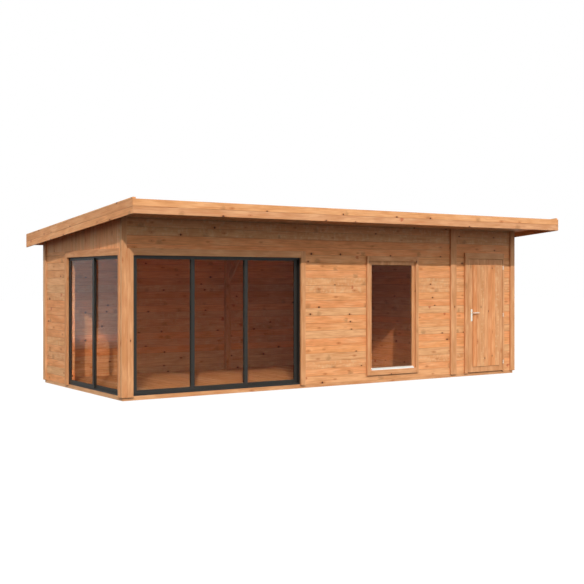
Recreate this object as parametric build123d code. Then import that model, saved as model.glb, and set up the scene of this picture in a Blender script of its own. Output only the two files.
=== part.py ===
from build123d import *
import math
import os

os.makedirs("parts", exist_ok=True)

# Garden office pod: a glazed room with a store at its right end, under one roof that falls to the back.
# Millimetres. X along the front, Y to the back, Z up; the origin is on the ground under the roof's middle.

# Base and walls
BASE_WIDTH = 7382
BASE_DEPTH = 2970
BASE_HEIGHT = 45
WALL = 100
PARTITION = 70
JOIST = 45
JOIST_SPACING = 560
FLOOR_BOARD = 20
STORE_WIDTH = 1423          # from the right end to the middle of the partition

# Roof, measured upright; build-up counted from the lower edge of the verge boards
FRONT_OVERHANG = 830
REAR_OVERHANG = 230
SIDE_OVERHANG = 229
VERGE_FRONT_HEIGHT = 2463   # lower edge of the verge at the front
ROOF_PITCH = 4.5
FASCIA = 20
FASCIA_BOARD = 94
SOFFIT_RECESS = 80
SOFFIT = 16
RAFTER = 45
RAFTER_SPACING = 620
DECK = 18
MEMBRANE = 3
UPSTAND = 24                # verge above the front fascia
UPSTAND_BATTEN = 28
REAR_FASCIA_BOARD = 150

# Boards on the outside of the walls
TRIM = 36
CORNER_BOARD = 26           # thinner than the casings
CORNER_FACE = 102
SLIM_CORNER_FRONT = 76      # front left corner, beside the two sliders
SLIM_CORNER_SIDE = 60
COVER_FACE = 124
INNER_BATTEN = 20
INNER_BATTEN_FACE = 70
INNER_BATTEN_OFFSET = 3301  # from the left end, on the back wall
SLIDER_CASING = 80
SLIDER_HEAD_CASING = 96

# Sliders: black frames, sashes one track behind another
SLIDER_SILL = 14            # timber strip under the frames
SLIDER_HEIGHT = 1900
FRONT_SLIDER_OFFSET = 143   # from the left end
FRONT_SLIDER_WIDTH = 2730
FRONT_PANES = 3
END_SLIDER_OFFSET = 84      # from the front
END_SLIDER_WIDTH = 1870
END_PANES = 2
SLIDER_JAMB = 8
SLIDER_BASE = 14
SLIDER_HEAD = 10
TRACK_INSET = 3
TRACK_PITCH = 26
SASH_DEPTH = 20
SASH_STILE = 56
SASH_BOTTOM = 53
SASH_TOP = 31
SASH_CLEAR = 6              # round a sliding sash
RIB = 4
RIB_ENGAGE = 8
GROOVE = 14
SEAT = 0.3
PANE = 8

# Window in the front wall
WINDOW_TO_PARTITION = 1303  # from its middle
WINDOW_CASING_WIDTH = 1060
WINDOW_CASING_HEIGHT = 1880
WINDOW_CASING_FOOT = 122
WINDOW_CASING = 80          # over and under the frame
WINDOW_SIDE_CASING = 55
WINDOW_COVER = 16           # casing over the window frame
WINDOW_FRAME_FACE = 76
WINDOW_BOTTOM_RAIL = 49
WINDOW_FRAME_DEPTH = 30
WINDOW_GLASS_INSET = 8
DRIP_BAR_DEPTH = 34
DRIP_BAR_NOSE = 14          # upright front edge below the slope
DRIP_BAR_LAP = 15           # past each side of the pane

# Store door
DOOR_TO_END = 684           # from its middle to the right end
DOOR_WIDTH = 806
DOOR_FOOT = 62
DOOR_HEIGHT = 1916
DOOR_THICKNESS = 44
DOOR_INSET = 4              # behind the face of the casings
DOOR_GAP = 7
DOOR_STILE = 98
DOOR_BOTTOM_RAIL = 94
DOOR_PANEL = 30
DOOR_PANEL_PROUD = 14       # in front of the stiles and rails
DOOR_LINING = 30
DOOR_STOP = 14
DOOR_STOP_GAP = 6
LOCK_CASING = 68            # casings of the store door
HINGE_CASING = 36
DOOR_HEAD_CASING = 98
THRESHOLD = 10

# Hinges, three on the right
HINGE_HEIGHTS = (211, 1022, 1835)
HINGE_LENGTH = 66
HINGE_PLATE = 2.5
HINGE_PLATE_WIDTH = 30
BARREL_RADIUS = 8
PIN_RADIUS = 3
PIN_CLEAR = 0.05
KNUCKLE_GAP = 0.3
KNUCKLE_SHARES = (1 / 3, 2 / 3)

# Lever handle
LEVER_HEIGHT = 1070
LEVER_BACKSET = 70          # from the free edge of the leaf
BACKPLATE_WIDTH = 38
BACKPLATE_HEIGHT = 204
BACKPLATE_ABOVE = 60        # above the spindle
BACKPLATE = 5
BACKPLATE_ROUND = 8
SPINDLE_RADIUS = 5
SPINDLE_HOLE_RADIUS = 13
LEVER_RADIUS = 8.5
LEVER_REACH = 48
LEVER_LENGTH = 130
LEVER_BEND = 16

OVERRUN = 10
LOW = (Align.MIN, Align.MIN, Align.MIN)
STANDING = (Align.CENTER, Align.CENTER, Align.MIN)
ALONG = Vector(1, 0, 0)

# Main lines
ROOF_WIDTH = BASE_WIDTH + SIDE_OVERHANG + SIDE_OVERHANG
ROOF_DEPTH = BASE_DEPTH + FRONT_OVERHANG + REAR_OVERHANG
ROOF_LEFT, ROOF_RIGHT = -ROOF_WIDTH / 2, ROOF_WIDTH / 2
ROOF_FRONT, ROOF_BACK = -ROOF_DEPTH / 2, ROOF_DEPTH / 2
LEFT, RIGHT = -BASE_WIDTH / 2, BASE_WIDTH / 2
FRONT, BACK = ROOF_FRONT + FRONT_OVERHANG, ROOF_BACK - REAR_OVERHANG
IN_LEFT, IN_RIGHT = LEFT + WALL, RIGHT - WALL
IN_FRONT, IN_BACK = FRONT + WALL, BACK - WALL
SLOPE = math.tan(math.radians(ROOF_PITCH))
FASCIA_HEIGHT = FASCIA_BOARD + FASCIA_BOARD
VERGE_HEIGHT = FASCIA_HEIGHT + UPSTAND
WALL_TOP = SOFFIT_RECESS + SOFFIT
RAFTER_TOP = FASCIA_HEIGHT - DECK
PART_LINE = RIGHT - STORE_WIDTH
FLOOR_TOP = BASE_HEIGHT + FLOOR_BOARD
SLIDER_FOOT = BASE_HEIGHT + SLIDER_SILL
SLIDER_TOP = SLIDER_FOOT + SLIDER_HEIGHT


def roof_line(y):
    """Height of the verge's lower edge at depth y."""
    return VERGE_FRONT_HEIGHT - SLOPE * (y - ROOF_FRONT)


def block(x, y, z):
    """Box between pairs of limits."""
    return Pos(x[0], y[0], z[0]) * Box(x[1] - x[0], y[1] - y[0], z[1] - z[0], align=LOW)


def prism(x, outline):
    """Outline of (y, z) points run along X between two limits."""
    face = Plane.YZ.offset(x[0]) * Polygon(*outline, align=None)
    return extrude(face, amount=x[1] - x[0], dir=ALONG)


def along_roof(x, y, low, high):
    """Solid between two planes parallel to the roof."""
    a, b = y
    return prism(x, [(a, roof_line(a) + low), (b, roof_line(b) + low),
                     (b, roof_line(b) + high), (a, roof_line(a) + high)])


def under_roof(x, y, foot, top=WALL_TOP):
    """Upright solid with a level foot and a top that follows the roof."""
    a, b = y
    return prism(x, [(a, foot), (b, foot), (b, roof_line(b) + top), (a, roof_line(a) + top)])


def ring(x, y, z, side, low, high):
    """Rectangular frame with upright sides and level rails."""
    hole = block((x[0] + side, x[1] - side), (y[0] - OVERRUN, y[1] + OVERRUN), (z[0] + low, z[1] - high))
    return block(x, y, z) - hole


def spread(start, end, spacing):
    """Even places from start to end, no further apart than the spacing."""
    count = math.ceil((end - start) / spacing)
    return [start + (end - start) * i / count for i in range(count + 1)]


def about(middle, width):
    """Limits of a width laid evenly on a middle line."""
    return (middle - width / 2, middle + width / 2)


def save(name, *solids):
    """One node as a file."""
    bodies = [s for shape in solids for s in shape.solids()]
    export_step(bodies[0] if len(bodies) == 1 else Compound(children=bodies), f"parts/{name}.step")


# Base: bearers under the long walls, joists between them, boards inside the walls
base_z = (0, BASE_HEIGHT)
save("base_bearers", block((LEFT, RIGHT), (FRONT, IN_FRONT), base_z),
     block((LEFT, RIGHT), (IN_BACK, BACK), base_z))

part_x = about(PART_LINE, PARTITION)
room_joists = spread(LEFT + WALL / 2, PART_LINE, JOIST_SPACING)
store_joists = spread(PART_LINE, RIGHT - WALL / 2, JOIST_SPACING)
joists = [about(x, JOIST) for x in room_joists[1:-1] + store_joists[1:-1]]
joists += [(LEFT, IN_LEFT), part_x, (IN_RIGHT, RIGHT)]
save("base_joists", *[block(x, (IN_FRONT, IN_BACK), base_z) for x in joists])
floor_z = (BASE_HEIGHT, FLOOR_TOP)
save("floor_deck", block((IN_LEFT, part_x[0]), (IN_FRONT, IN_BACK), floor_z),
     block((part_x[1], IN_RIGHT), (IN_FRONT, IN_BACK), floor_z))

# Walls: piers, panels and headers round the openings
slider_x = (LEFT + FRONT_SLIDER_OFFSET, LEFT + FRONT_SLIDER_OFFSET + FRONT_SLIDER_WIDTH)
slider_y = (FRONT + END_SLIDER_OFFSET, FRONT + END_SLIDER_OFFSET + END_SLIDER_WIDTH)
front_y, back_y = (FRONT, IN_FRONT), (IN_BACK, BACK)
left_x, right_x = (LEFT, IN_LEFT), (IN_RIGHT, RIGHT)
door_middle = RIGHT - DOOR_TO_END
leaf_x = about(door_middle, DOOR_WIDTH)
leaf_z = (DOOR_FOOT, DOOR_FOOT + DOOR_HEIGHT)
lining_in_x = (leaf_x[0] - DOOR_GAP, leaf_x[1] + DOOR_GAP)
lining_x = (lining_in_x[0] - DOOR_LINING, lining_in_x[1] + DOOR_LINING)
lining_in_top = leaf_z[1] + DOOR_GAP
lining_top = lining_in_top + DOOR_LINING

pier_front = under_roof((IN_LEFT, slider_x[0]), front_y, BASE_HEIGHT)
pier_side = under_roof(left_x, (FRONT, slider_y[0]), BASE_HEIGHT)
save("front_left_corner_pier", pier_front + pier_side)
save("wall_headers", under_roof(slider_x, front_y, SLIDER_TOP), under_roof(left_x, slider_y, SLIDER_TOP),
     under_roof(lining_x, front_y, lining_top))

window_x = about(PART_LINE - WINDOW_TO_PARTITION, WINDOW_CASING_WIDTH)
window_z = (WINDOW_CASING_FOOT, WINDOW_CASING_FOOT + WINDOW_CASING_HEIGHT)
side_in, level_in = WINDOW_SIDE_CASING - WINDOW_COVER, WINDOW_CASING - WINDOW_COVER
hole_x = (window_x[0] + side_in, window_x[1] - side_in)
hole_z = (window_z[0] + level_in, window_z[1] - level_in)
window_hole = block(hole_x, (FRONT - OVERRUN, IN_FRONT + OVERRUN), hole_z)
save("front_window_wall", under_roof((slider_x[1], PART_LINE), front_y, BASE_HEIGHT) - window_hole)
save("store_front_walls", under_roof((PART_LINE, lining_x[0]), front_y, BASE_HEIGHT),
     under_roof((lining_x[1], RIGHT), front_y, BASE_HEIGHT))
save("left_end_wall", under_roof(left_x, (slider_y[1], IN_BACK), BASE_HEIGHT))
save("right_end_wall", under_roof(right_x, (IN_FRONT, IN_BACK), BASE_HEIGHT))
save("back_wall", under_roof((LEFT, RIGHT), back_y, BASE_HEIGHT))
save("partition_wall", under_roof(part_x, (IN_FRONT, IN_BACK), BASE_HEIGHT))

# Trim: corner boards, cover boards, casings round the openings
trim_front, trim_back, trim_left = (FRONT - TRIM, FRONT), (BACK, BACK + TRIM), (LEFT - TRIM, LEFT)
out_left, out_right = LEFT - CORNER_BOARD, RIGHT + CORNER_BOARD
out_front, out_back = FRONT - CORNER_BOARD, BACK + CORNER_BOARD
corner_edge_x, corner_edge_y = out_left + SLIM_CORNER_FRONT, out_front + SLIM_CORNER_SIDE
board_left, board_right = (out_left, LEFT), (RIGHT, out_right)
board_front, board_back = (out_front, FRONT), (BACK, out_back)


def corner_board(x_face, x_side, y_face, y_side):
    """Two boards joined at a corner, up to the soffit."""
    return (under_roof(x_face, y_face, BASE_HEIGHT, SOFFIT_RECESS)
            + under_roof(x_side, y_side, BASE_HEIGHT, SOFFIT_RECESS))


wide = CORNER_FACE - CORNER_BOARD
save("corner_boards",
     corner_board((out_left, corner_edge_x), board_left, board_front, (out_front, corner_edge_y)),
     corner_board((RIGHT - wide, out_right), board_right, board_front, (out_front, FRONT + wide)),
     corner_board((out_left, LEFT + wide), board_left, board_back, (BACK - wide, out_back)),
     corner_board((RIGHT - wide, out_right), board_right, board_back, (BACK - wide, out_back)))

cover_x = about(PART_LINE, COVER_FACE)
batten_x = about(LEFT + INNER_BATTEN_OFFSET, INNER_BATTEN_FACE)
save("cover_boards", under_roof(cover_x, trim_front, BASE_HEIGHT, SOFFIT_RECESS),
     under_roof(cover_x, trim_back, BASE_HEIGHT, SOFFIT_RECESS),
     under_roof(batten_x, (IN_BACK - INNER_BATTEN, IN_BACK), FLOOR_TOP))

slider_casing_z = (BASE_HEIGHT, SLIDER_TOP + SLIDER_HEAD_CASING)
door_casing_z = (BASE_HEIGHT, lining_in_top + DOOR_HEAD_CASING)
save("side_casings",
     block((corner_edge_x, slider_x[0]), trim_front, slider_casing_z),
     block((slider_x[1], slider_x[1] + SLIDER_CASING), trim_front, slider_casing_z),
     block(trim_left, (corner_edge_y, slider_y[0]), slider_casing_z),
     block(trim_left, (slider_y[1], slider_y[1] + SLIDER_CASING), slider_casing_z),
     block((window_x[0], window_x[0] + WINDOW_SIDE_CASING), trim_front, window_z),
     block((window_x[1] - WINDOW_SIDE_CASING, window_x[1]), trim_front, window_z),
     block((lining_in_x[0] - LOCK_CASING, lining_in_x[0]), trim_front, door_casing_z),
     block((lining_in_x[1], lining_in_x[1] + HINGE_CASING), trim_front, door_casing_z))
head_z = (SLIDER_TOP, SLIDER_TOP + SLIDER_HEAD_CASING)
window_in_x = (window_x[0] + WINDOW_SIDE_CASING, window_x[1] - WINDOW_SIDE_CASING)
window_in_z = (window_z[0] + WINDOW_CASING, window_z[1] - WINDOW_CASING)
save("head_casings", block(slider_x, trim_front, head_z), block(trim_left, slider_y, head_z),
     block(window_in_x, trim_front, (window_in_z[1], window_z[1])),
     block(window_in_x, trim_front, (window_z[0], window_in_z[0])),
     block(lining_in_x, trim_front, (lining_in_top, lining_in_top + DOOR_HEAD_CASING)))
sill_z = (BASE_HEIGHT, SLIDER_FOOT)
save("slider_sills", block(slider_x, front_y, sill_z), block(left_x, slider_y, sill_z))

# Roof: rafters on the sloping wall tops, soffits under them, deck and membrane over them
roof_in_x = (ROOF_LEFT + FASCIA, ROOF_RIGHT - FASCIA)
roof_in_y = (ROOF_FRONT + FASCIA, ROOF_BACK - FASCIA)
room_rafters = spread(LEFT + WALL / 2, PART_LINE, RAFTER_SPACING)
store_rafters = spread(PART_LINE, RIGHT - WALL / 2, RAFTER_SPACING)
bearing = [about(x, RAFTER) for x in room_rafters + store_rafters[1:]]
verge_rafters = [(roof_in_x[0], roof_in_x[0] + RAFTER), (roof_in_x[1] - RAFTER, roof_in_x[1])]
save("rafters", *[along_roof(x, roof_in_y, WALL_TOP, RAFTER_TOP) for x in bearing + verge_rafters])
blocking = []
for a, b in zip(bearing, bearing[1:]):
    blocking += [along_roof((a[1], b[0]), y, WALL_TOP, RAFTER_TOP) for y in (front_y, back_y)]
save("eaves_blocking", *blocking)
save("front_rear_soffits", along_roof(roof_in_x, (roof_in_y[0], FRONT), SOFFIT_RECESS, WALL_TOP),
     along_roof(roof_in_x, (BACK, roof_in_y[1]), SOFFIT_RECESS, WALL_TOP))
save("side_soffits", along_roof((roof_in_x[0], LEFT), (FRONT, BACK), SOFFIT_RECESS, WALL_TOP),
     along_roof((RIGHT, roof_in_x[1]), (FRONT, BACK), SOFFIT_RECESS, WALL_TOP))
save("roof_deck", along_roof(roof_in_x, roof_in_y, RAFTER_TOP, FASCIA_HEIGHT))
deck_in_x = (roof_in_x[0] + UPSTAND_BATTEN, roof_in_x[1] - UPSTAND_BATTEN)
verge_y = (roof_in_y[0], ROOF_BACK)
save("roof_membrane", along_roof(deck_in_x, verge_y, FASCIA_HEIGHT, FASCIA_HEIGHT + MEMBRANE))
save("verge_upstands", *[along_roof(x, verge_y, FASCIA_HEIGHT, VERGE_HEIGHT)
                         for x in ((roof_in_x[0], deck_in_x[0]), (deck_in_x[1], roof_in_x[1]))])
verge_x = ((ROOF_LEFT, roof_in_x[0]), (roof_in_x[1], ROOF_RIGHT))
save("verge_boards_lower", *[along_roof(x, verge_y, 0, FASCIA_BOARD) for x in verge_x])
save("verge_boards_upper", *[along_roof(x, verge_y, FASCIA_BOARD, VERGE_HEIGHT) for x in verge_x])
fascia_y = (ROOF_FRONT, roof_in_y[0])
fascia_low = VERGE_FRONT_HEIGHT
save("front_fascia_lower", block((ROOF_LEFT, ROOF_RIGHT), fascia_y, (fascia_low, fascia_low + FASCIA_BOARD)))
save("front_fascia_upper", block((ROOF_LEFT, ROOF_RIGHT), fascia_y,
                                 (fascia_low + FASCIA_BOARD, fascia_low + FASCIA_HEIGHT)))
rear_low = FASCIA_HEIGHT - REAR_FASCIA_BOARD
save("rear_fascia", along_roof(roof_in_x, (roof_in_y[1], ROOF_BACK), rear_low, FASCIA_HEIGHT))


def slider(width, panes):
    """Outer frame, sashes and panes in local axes: width along X, tracks one behind another along Y."""
    tracks = [TRACK_INSET + TRACK_PITCH * i for i in range(panes)]
    depth = tracks[-1] + SASH_DEPTH + TRACK_INSET
    inner_x = (SLIDER_JAMB, width - SLIDER_JAMB)
    inner_z = (SLIDER_BASE, SLIDER_HEIGHT - SLIDER_HEAD)
    frame = ring((0, width), (0, depth), (0, SLIDER_HEIGHT), SLIDER_JAMB, SLIDER_BASE, SLIDER_HEAD)
    sash_z = (inner_z[0] + SASH_CLEAR, inner_z[1] - SASH_CLEAR)
    clear_width = inner_x[1] - inner_x[0] - SASH_CLEAR
    sash_width = (clear_width + (panes - 1) * SASH_STILE) / panes
    step = sash_width - SASH_STILE
    sashes, glasses = [], []
    for i, near in enumerate(tracks):
        middle = near + SASH_DEPTH / 2
        rib_y, groove_y = about(middle, RIB), about(middle, GROOVE)
        frame += block(inner_x, rib_y, (inner_z[0], sash_z[0] + RIB_ENGAGE))
        frame += block(inner_x, rib_y, (sash_z[1] - RIB_ENGAGE, inner_z[1]))
        x = (inner_x[0] + i * step, inner_x[0] + i * step + sash_width)
        sash = ring(x, (near, near + SASH_DEPTH), sash_z, SASH_STILE, SASH_BOTTOM, SASH_TOP)
        run = (x[0] - OVERRUN, x[1] + OVERRUN)
        sash -= block(run, groove_y, (sash_z[0] - OVERRUN, sash_z[0] + RIB_ENGAGE + SEAT))
        sash -= block(run, groove_y, (sash_z[1] - RIB_ENGAGE - SASH_CLEAR, sash_z[1] + OVERRUN))
        sashes.append(sash)
        glasses.append(block((x[0] + SASH_STILE, x[1] - SASH_STILE), about(middle, PANE),
                             (sash_z[0] + SASH_BOTTOM, sash_z[1] - SASH_TOP)))
    return frame, sashes, glasses


front_place = Pos(slider_x[0], FRONT, SLIDER_FOOT)
end_place = Pos(LEFT, slider_y[1], SLIDER_FOOT) * Rot(0, 0, -90)
front_frame, front_sashes, front_glasses = slider(FRONT_SLIDER_WIDTH, FRONT_PANES)
end_frame, end_sashes, end_glasses = slider(END_SLIDER_WIDTH, END_PANES)
save("front_slider_frame", front_place * front_frame)
save("end_slider_frame", end_place * end_frame)
save("fixed_sashes", front_place * front_sashes[0], end_place * end_sashes[0])
save("front_middle_sash", front_place * front_sashes[1])
save("front_middle_glass", front_place * front_glasses[1])
save("front_right_sash", front_place * front_sashes[2])
save("front_right_glass", front_place * front_glasses[2])
save("end_sliding_sash", end_place * end_sashes[1])
save("end_sliding_glass", end_place * end_glasses[1])

# Window: timber frame, pane and drip bar
window_y = (FRONT, FRONT + WINDOW_FRAME_DEPTH)
light_x = (hole_x[0] + WINDOW_FRAME_FACE, hole_x[1] - WINDOW_FRAME_FACE)
light_z = (hole_z[0] + WINDOW_BOTTOM_RAIL, hole_z[1] - WINDOW_FRAME_FACE)
save("window_frame", ring(hole_x, window_y, hole_z, WINDOW_FRAME_FACE, WINDOW_BOTTOM_RAIL, WINDOW_FRAME_FACE))
glass_y = (FRONT + WINDOW_GLASS_INSET, FRONT + WINDOW_GLASS_INSET + PANE)
save("fixed_glass", front_place * front_glasses[0], end_place * end_glasses[0],
     block(light_x, glass_y, light_z))
drip_x = (light_x[0] - DRIP_BAR_LAP, light_x[1] + DRIP_BAR_LAP)
drip_low, drip_edge = window_in_z[0], FRONT - DRIP_BAR_DEPTH
save("window_drip_bar", prism(drip_x, [(FRONT, drip_low), (drip_edge, drip_low),
                                       (drip_edge, drip_low + DRIP_BAR_NOSE), (FRONT, light_z[0])]))

# Store door: lining with stops and threshold, framed leaf with a boarded panel
casing_face = FRONT - TRIM
leaf_face = casing_face + DOOR_INSET
leaf_y = (leaf_face, leaf_face + DOOR_THICKNESS)
lining = block(lining_x, front_y, (BASE_HEIGHT, lining_top))
lining -= block(lining_in_x, (FRONT - OVERRUN, IN_FRONT + OVERRUN), (BASE_HEIGHT + THRESHOLD, lining_in_top))
stop_y = (leaf_y[1] + DOOR_STOP_GAP, leaf_y[1] + DOOR_STOP_GAP + DOOR_LINING)
stop_in_x = (lining_in_x[0] + DOOR_STOP, lining_in_x[1] - DOOR_STOP)
stop = block(lining_in_x, stop_y, (BASE_HEIGHT + THRESHOLD, lining_in_top))
stop -= block(stop_in_x, (stop_y[0] - OVERRUN, stop_y[1] + OVERRUN), (BASE_HEIGHT, lining_in_top - DOOR_STOP))
save("store_door_frame", lining + stop)

spindle_x = leaf_x[0] + LEVER_BACKSET
spindle = Pos(spindle_x, 0, LEVER_HEIGHT) * Rot(-90, 0, 0)
leaf = ring(leaf_x, leaf_y, leaf_z, DOOR_STILE, DOOR_BOTTOM_RAIL, DOOR_STILE)
leaf -= Pos(0, leaf_y[0], 0) * spindle * Cylinder(SPINDLE_HOLE_RADIUS, DOOR_THICKNESS, align=STANDING)
save("store_door_leaf", leaf)
panel_y = (leaf_y[0] - DOOR_PANEL_PROUD, leaf_y[0] - DOOR_PANEL_PROUD + DOOR_PANEL)
save("store_door_panel", block((leaf_x[0] + DOOR_STILE, leaf_x[1] - DOOR_STILE), panel_y,
                               (leaf_z[0] + DOOR_BOTTOM_RAIL, leaf_z[1] - DOOR_STILE)))

# Hinges: plates in the gap beside the leaf; outer knuckles and pin stay, the middle knuckle turns
pin_x = (leaf_x[1] + lining_in_x[1]) / 2
pin_y = casing_face - BARREL_RADIUS
plate_start = casing_face + KNUCKLE_GAP
plate_y = (plate_start, plate_start + HINGE_PLATE_WIDTH)
casing_plate_x = (lining_in_x[1] - HINGE_PLATE, lining_in_x[1])
leaf_plate_x = (leaf_x[1], leaf_x[1] + HINGE_PLATE)


def barrel(z, radius):
    """Upright cylinder on the hinge line."""
    return Pos(pin_x, pin_y, z[0]) * Cylinder(radius, z[1] - z[0], align=STANDING)


def hinge(middle):
    """Casing half and leaf half of one hinge."""
    low, high = about(middle, HINGE_LENGTH)
    cuts = [low + HINGE_LENGTH * share for share in KNUCKLE_SHARES]
    ends = [(low, cuts[0]), (cuts[1], high)]
    fixed = barrel((low, high), PIN_RADIUS) + block(casing_plate_x, plate_y, (low, high))
    for z in ends:
        fixed += barrel(z, BARREL_RADIUS)
        fixed += block(casing_plate_x, (pin_y, plate_start), z)
    middle_z = (cuts[0] + KNUCKLE_GAP, cuts[1] - KNUCKLE_GAP)
    turning = barrel(middle_z, BARREL_RADIUS) + block(leaf_plate_x, plate_y, (low, high))
    turning += block(leaf_plate_x, (pin_y, plate_start), middle_z)
    turning -= barrel((low, high), PIN_RADIUS + PIN_CLEAR)
    return fixed, turning


hinges = [hinge(z) for z in HINGE_HEIGHTS]
save("hinge_casing_halves", *[fixed for fixed, turning in hinges])
save("hinge_leaf_halves", *[turning for fixed, turning in hinges])


# Handle: backplates on both faces of the leaf, one lever pair on a spindle through it
def backplate(y):
    """Rounded plate with a bore for the spindle."""
    z = (LEVER_HEIGHT + BACKPLATE_ABOVE - BACKPLATE_HEIGHT, LEVER_HEIGHT + BACKPLATE_ABOVE)
    plate = block(about(spindle_x, BACKPLATE_WIDTH), (y, y + BACKPLATE), z)
    plate = fillet(plate.edges().filter_by(Axis.Y), BACKPLATE_ROUND)
    hole = Cylinder(SPINDLE_RADIUS + PIN_CLEAR, BACKPLATE, align=STANDING)
    return plate - Pos(0, y, 0) * spindle * hole


outer_plate, inner_plate = backplate(leaf_y[0] - BACKPLATE), backplate(leaf_y[1])
save("handle_backplates", outer_plate, inner_plate)


def lever(start, side):
    """Round bar out from the plate and along the leaf toward the hinges."""
    reach = start + side * LEVER_REACH
    path = FilletPolyline((spindle_x, start, LEVER_HEIGHT), (spindle_x, reach, LEVER_HEIGHT),
                          (spindle_x + LEVER_LENGTH, reach, LEVER_HEIGHT), radius=LEVER_BEND)
    section = Plane(origin=(spindle_x, start, LEVER_HEIGHT), z_dir=(0, side, 0)) * Circle(LEVER_RADIUS)
    return sweep(section, path=path)


plate_faces = (leaf_y[0] - BACKPLATE - SEAT, leaf_y[1] + BACKPLATE + SEAT)
bar = Cylinder(SPINDLE_RADIUS, plate_faces[1] - plate_faces[0], align=STANDING)
bar = Pos(0, plate_faces[0], 0) * spindle * bar
save("door_lever", lever(plate_faces[0], -1) + bar + lever(plate_faces[1], 1))
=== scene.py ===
import math

import bmesh
import bpy
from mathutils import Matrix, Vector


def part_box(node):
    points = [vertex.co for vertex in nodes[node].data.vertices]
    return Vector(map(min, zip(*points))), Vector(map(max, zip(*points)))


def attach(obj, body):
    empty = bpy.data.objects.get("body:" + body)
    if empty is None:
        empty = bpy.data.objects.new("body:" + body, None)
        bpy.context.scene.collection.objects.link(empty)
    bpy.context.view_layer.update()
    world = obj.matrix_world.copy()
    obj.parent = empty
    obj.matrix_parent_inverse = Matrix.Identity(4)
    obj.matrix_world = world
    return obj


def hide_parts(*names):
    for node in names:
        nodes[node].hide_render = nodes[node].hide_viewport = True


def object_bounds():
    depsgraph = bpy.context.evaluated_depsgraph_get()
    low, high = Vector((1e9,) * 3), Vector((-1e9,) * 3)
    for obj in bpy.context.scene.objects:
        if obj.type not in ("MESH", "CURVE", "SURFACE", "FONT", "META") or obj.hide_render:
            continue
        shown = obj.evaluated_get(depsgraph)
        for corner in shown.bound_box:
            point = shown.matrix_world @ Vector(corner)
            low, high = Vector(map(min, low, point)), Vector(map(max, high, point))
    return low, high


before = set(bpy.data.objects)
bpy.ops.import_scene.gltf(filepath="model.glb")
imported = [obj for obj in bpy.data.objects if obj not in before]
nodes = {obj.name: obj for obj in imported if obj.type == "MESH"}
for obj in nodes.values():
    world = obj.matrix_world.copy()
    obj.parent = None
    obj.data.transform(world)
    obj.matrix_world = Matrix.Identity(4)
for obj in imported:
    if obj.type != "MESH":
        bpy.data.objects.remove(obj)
cad_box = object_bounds()

# Lengths are in metres and angles in degrees, unless a comment says otherwise

# Camera; the picture is square
CAMERA_PLACE = (-9.1806, -13.4618, 1.62)
CAMERA_HEADING = 33.8
CAMERA_LENS = 61.03             # millimetres
CAMERA_SHIFT = -0.01998         # share of the picture

# Light: a low sun from the front left, a broad pale sky, little light from below
SUN_TRAVEL = (1.02, 1.772, -1.30)
SUN_STRENGTH = 2.28
SUN_WIDTH = 0.7
SUN_COLOUR = "#FFFAF0"
SKY_STRENGTH = 1.45
SKY_COLOUR = "#F6F8F2"
SKY_LEFT_SHARE = 0.55           # sky of the left against that of the right
SKY_TURN = (-1.0, 0.3)          # from left to right, where that share grows to the whole
ROOM_SKY = 0.7                  # sky that comes in through the panes
WHITE = "#FFFFFF"
FLOOR_BOUNCE = "#383838"
FLOOR_GLOW = 0.9                # white seen by the eye
FLOOR_SHADE = "#656565"         # lit floor added to the glow, so that the shadow shows
FLOOR_REACH = 60
# Painted dark reflection: beside the left end the floor turns dark only where the panes mirror it
MIRROR_DARK = (-3.75, -4.05)    # beside the left end the panes mirror the floor as dark,
MIRROR_WHITE = (10.0, 17.0)     # and farther out as white

# Boards and sheets
BOARD = 0.115
FIRST_JOINT = 0.162
JOINT_WIDTH = 0.006
GABLE_FOOT = 2.055              # upright boards above this on the two ends
FLOOR_BOARD = 0.150
SOFFIT_SHEET = 0.610
DOOR_BOARDS = 7
OVERRUN = 0.05                  # the bars that cut the joints reach past the boards
DECK_OVERRUN = 1.0              # past the walls, since the deck overhangs them

# Roof
ROOF_PITCH = 4.5
VERGE_FOOT = 2.463
FASCIA_BOARD = 0.094
SOFFIT_RECESS = 0.080
DECK_FOOT = 0.170
ROOF_FALL = math.tan(math.radians(ROOF_PITCH))
TILT = -math.radians(ROOF_PITCH)
QUARTER = math.radians(90)
EIGHTH = math.radians(45)
VERGE_SEAM = VERGE_FOOT * math.cos(TILT) - cad_box[0].y * math.sin(TILT)

# Posts, beam and knee braces inside the room
POST = 0.090
POST_LEFT = -0.482
BRACE = 0.045
BRACE_DEPTH = 0.090
BRACE_RISE = 0.565
BEAM = 0.140

# Eased edges, and the merging of points that lie together
BOARD_EDGE = 0.003
TIMBER_EDGE = 0.004
METAL_EDGE = 0.001
EDGE_STEPS = 2
EDGE_ANGLE = 40                 # sharper corners are eased
FLAT_ANGLE = 1                  # faces that turn less are one face
WELD = 0.00001                  # on a solid
SLIVER = 0.00005                # after a cut

# Knots in cells along each board, smudges and blotches in longer cells; edges in radii
KNOT_CELL = 0.70
KNOT_STRETCH = 1.05
KNOT_LARGE = (0.013, 0.020)
KNOT_SMALL = (0.005, 0.008)
KNOT_EDGES = (0.6, 1.15)
WEAK_EDGES = (0.5, 1.3)
HALO_EDGES = (0.5, 1.7)
HALO_SQUEEZE = 0.45             # halos reach farther along the grain
LARGE_SHARE = 0.27
SMALL_SHARE = 0.62
MARK_CELL = 1.10
MARK_RADIUS = (0.030, 0.055)
MARK_RAGGED = 0.09
SMUDGE_EDGES = (0.0, 1.9)
BLOTCH_EDGES = (0.4, 0.9)
SMUDGE_SHARE = 0.34
BLOTCH_SHARE = 0.18

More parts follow.
